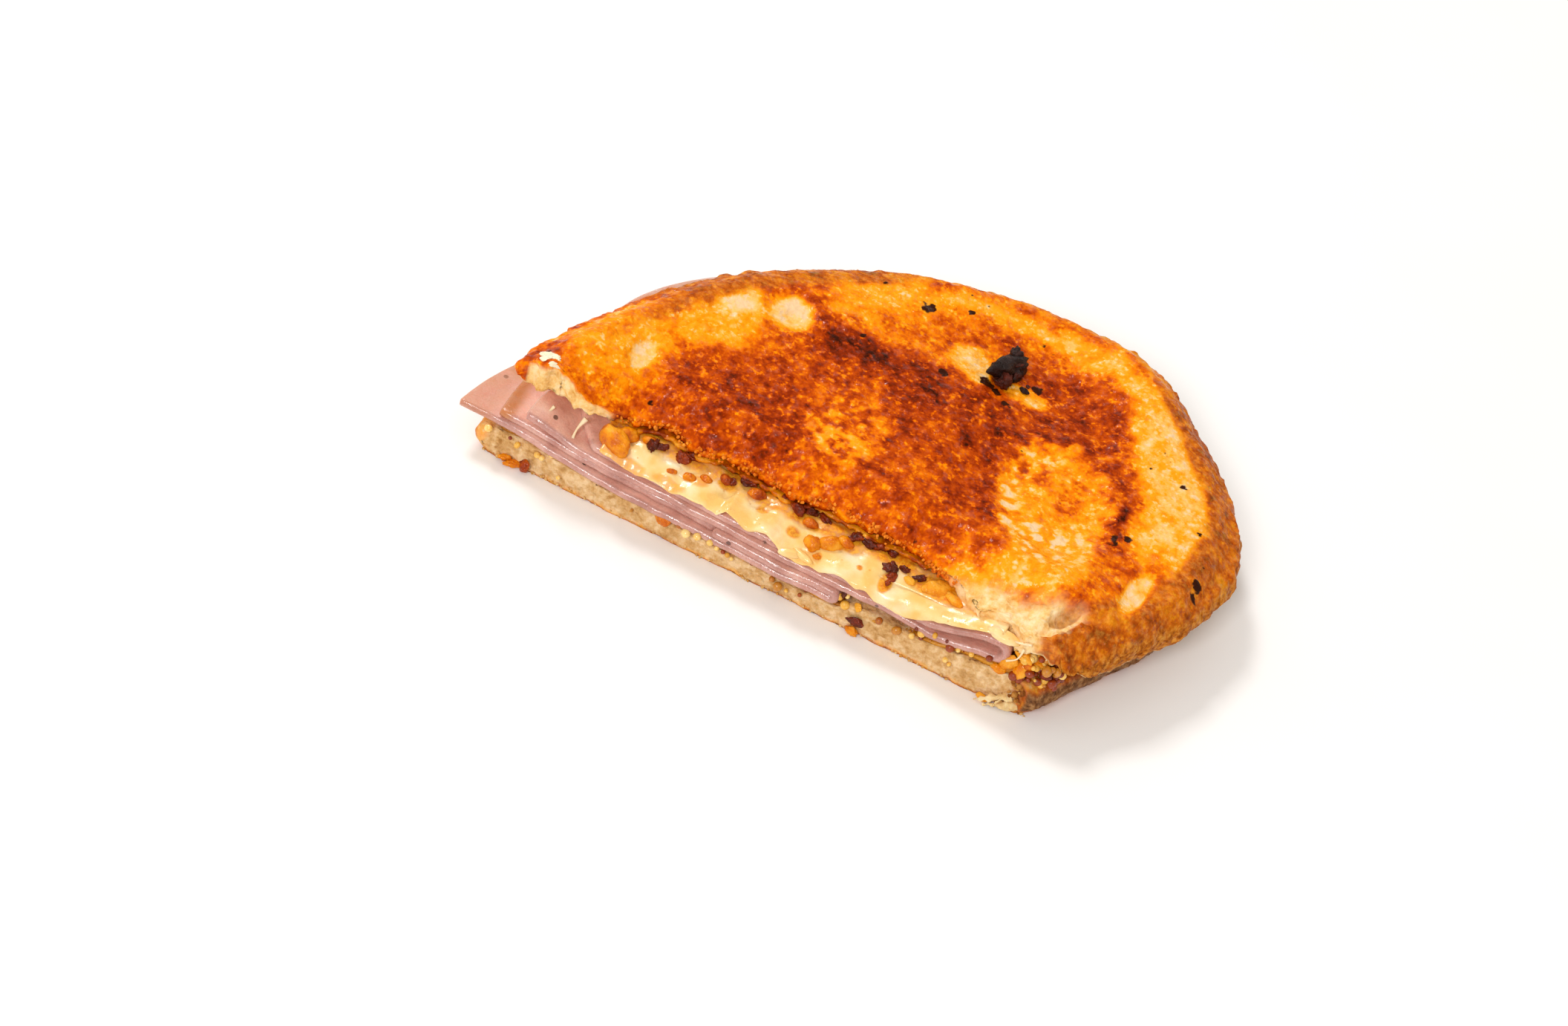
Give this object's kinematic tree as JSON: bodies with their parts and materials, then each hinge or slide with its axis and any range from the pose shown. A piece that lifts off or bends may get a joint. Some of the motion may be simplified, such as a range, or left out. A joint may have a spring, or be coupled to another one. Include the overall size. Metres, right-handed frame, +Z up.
{
  "type": "pressed bologna sandwich",
  "caption": "Half of a pressed, fried bologna and cheese sandwich on country bread, cut across, lying flat with its layers showing at the cut.",
  "frame": {"origin": "bottom centre of the bounding box, on the board that the sandwich lies on", "axes": "+X along the cut to the right as the cut is looked at, +Y from the cut towards the crust, +Z up"},
  "size_m": [0.151, 0.0978, 0.0262],
  "materials": {
    "fried_bread": "fried crumb, orange to red-brown, greasy sheen, paler towards a browned crust",
    "lower_bread": "open pale crumb at the cut, browned crust and fried underside",
    "mustard": "grain mustard, wet, with whole yellow and brown seeds",
    "bologna": "smooth pink-mauve meat with a wet sheen",
    "cheese": "melted cream cheese colour with orange oil stains, glossy",
    "onion": "fried onion and mustard seed relish, golden to dark brown",
    "char": "black, crusty, slightly shiny"
  },
  "bodies": {
    "root": {"bread_lower": "lower_bread", "mustard": "mustard", "bologna_1": "bologna", "bologna_2": "bologna", "bologna_3": "bologna", "bologna_4": "bologna", "cheese": "cheese", "onion": "onion", "bread_upper": "fried_bread", "charred_bit": "char"}
  },
  "joints": []
}
